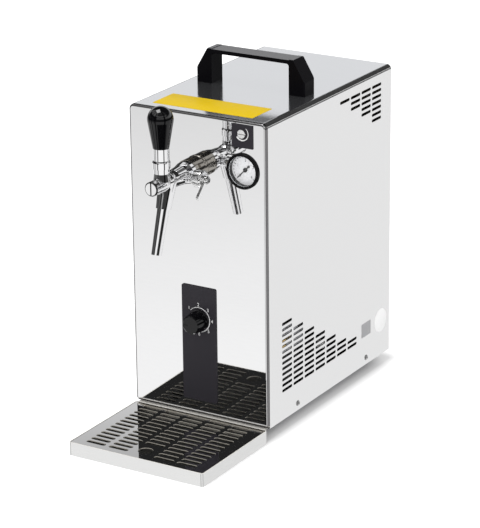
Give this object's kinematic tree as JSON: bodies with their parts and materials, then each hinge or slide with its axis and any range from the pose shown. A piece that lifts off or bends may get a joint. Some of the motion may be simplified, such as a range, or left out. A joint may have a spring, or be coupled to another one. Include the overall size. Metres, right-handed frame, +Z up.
{
  "type": "beer tap cooler",
  "caption": "Counter-top drink cooler with a chromed dispensing tap, pressure gauge, thermostat knob, carry handle, vented steel cover and a removable drip tray with a slotted grid.",
  "frame": {"origin": "on the table, in the middle of the whole part's width and of its depth from the drip tray's front edge to the tips of the rear fittings", "axes": "-Y is the front with the tap and the tray, +X is right as seen from the front, +Z is up"},
  "size_m": [0.1786, 0.44, 0.4085],
  "materials": {
    "polished_steel": "mirror-polished stainless sheet",
    "satin_steel": "finely brushed stainless sheet",
    "zinc_steel": "plain plated sheet",
    "chrome": "polished chrome plate",
    "black_gloss": "glossy moulded plastic",
    "fascia_black": "satin printed foil",
    "dial_white": "white enamel",
    "needle_black": "black enamel",
    "clear_lens": "clear window",
    "grey_case": "moulded plastic",
    "brass": "turned brass",
    "rubber": "moulded rubber",
    "white_plastic": "moulded plastic and hose",
    "foam": "rigid foam",
    "aluminium": "cast and rolled aluminium",
    "black_shell": "black enamelled steel",
    "black_plastic": "moulded plastic",
    "red_plastic": "glossy moulded plastic"
  },
  "bodies": {
    "cabinet": {"base_pan": "zinc_steel", "feet": "rubber", "front_panel": "polished_steel", "cover": "satin_steel", "rear_panel": "zinc_steel", "cover_screws": "satin_steel", "carry_handle": "black_gloss", "handle_screws": "zinc_steel", "control_fascia": "fascia_black", "thermostat": "grey_case", "regulator_plate": "fascia_black", "regulator_body": "brass", "gauge_case": "grey_case", "gauge_bezel": "black_gloss", "gauge_dial": "dial_white", "gauge_lens": "clear_lens", "tap_rosette": "chrome", "tap_shank": "chrome", "shank_nut": "brass", "tap_collar": "chrome", "tap_body": "chrome", "tap_cap": "chrome", "tap_spout": "chrome", "lever_nut": "chrome", "shelf": "zinc_steel", "block_foam": "foam", "cooling_block": "aluminium", "compressor": "black_shell", "compressor_mounts": "rubber", "condenser": "aluminium", "fan_frame": "black_plastic", "fan_motor": "grey_case", "air_pump": "grey_case", "pump_bracket": "black_shell", "air_filter": "white_plastic", "air_elbow": "brass", "beer_line": "white_plastic", "air_line": "white_plastic", "gauge_line": "white_plastic", "beer_inlet": "black_plastic", "air_outlet": "black_plastic", "cable_gland": "black_plastic", "switch_frame": "black_plastic"},
    "tap_handle": {"tap_lever": "chrome", "tap_knob": "black_gloss"},
    "plunger": {"tap_plunger": "white_plastic"},
    "compensator": {"compensator_knob": "chrome", "compensator_lever": "chrome"},
    "cone": {"compensator_cone": "white_plastic"},
    "thermostat_control": {"thermostat_shaft": "zinc_steel", "thermostat_knob": "black_gloss"},
    "regulator": {"regulator_screw": "zinc_steel"},
    "needle": {"gauge_needle": "needle_black"},
    "fan": {"fan_rotor": "black_plastic"},
    "tray": {"drip_tray": "satin_steel"},
    "grid": {"drip_grid": "polished_steel"},
    "rocker": {"switch_rocker": "red_plastic"}
  },
  "joints": [
    {"name": "tap_lever_tilt", "type": "hinge", "parent": "cabinet", "child": "tap_handle", "pos_m": [0, -0.1545, 0.329], "axis": [1, 0, 0], "range_deg": [-15, 26]},
    {"name": "plunger_slide", "type": "slide", "parent": "cabinet", "child": "plunger", "axis": [0, 1, 0], "range_m": [-0.0055, 0.0092]},
    {"name": "compensator_turn", "type": "hinge", "parent": "cabinet", "child": "compensator", "pos_m": [0.026, -0.1185, 0.308], "axis": [1, 0, 0], "range_deg": [-70, 70]},
    {"name": "cone_slide", "type": "slide", "parent": "cabinet", "child": "cone", "axis": [0, 1, 0], "range_m": [-0.0031, 0.0031]},
    {"name": "thermostat_turn", "type": "hinge", "parent": "cabinet", "child": "thermostat_control", "pos_m": [0, -0.09, 0.13], "axis": [0, 1, 0], "range_deg": [0, 270]},
    {"name": "regulator_turn", "type": "hinge", "parent": "cabinet", "child": "regulator", "pos_m": [0.0585, -0.085, 0.3545], "axis": [0, 1, 0], "range_deg": [-180, 180]},
    {"name": "needle_turn", "type": "hinge", "parent": "cabinet", "child": "needle", "pos_m": [0.0585, -0.0794, 0.3122], "axis": [0, 1, 0], "range_deg": [0, 270], "stiffness_Nm_per_rad": 0.0005},
    {"name": "fan_spin", "type": "hinge", "parent": "cabinet", "child": "fan", "pos_m": [0, 0.185, 0.2444], "axis": [0, 1, 0], "continuous": true},
    {"name": "tray_slide", "type": "slide", "parent": "cabinet", "child": "tray", "axis": [0, -1, 0], "range_m": [0, 0.16]},
    {"name": "grid_lift", "type": "slide", "parent": "tray", "child": "grid", "axis": [0, 0, 1], "range_m": [0, 0.05]},
    {"name": "switch_rock", "type": "hinge", "parent": "cabinet", "child": "rocker", "pos_m": [0, 0.198, 0.112], "axis": [-1, 0, 0], "range_deg": [0, 20]}
  ],
  "couplings": [
    {"joint": "plunger_slide", "follows": "tap_lever_tilt", "m_per_rad": 0.0192},
    {"joint": "cone_slide", "follows": "compensator_turn", "m_per_rad": 0.002456}
  ]
}
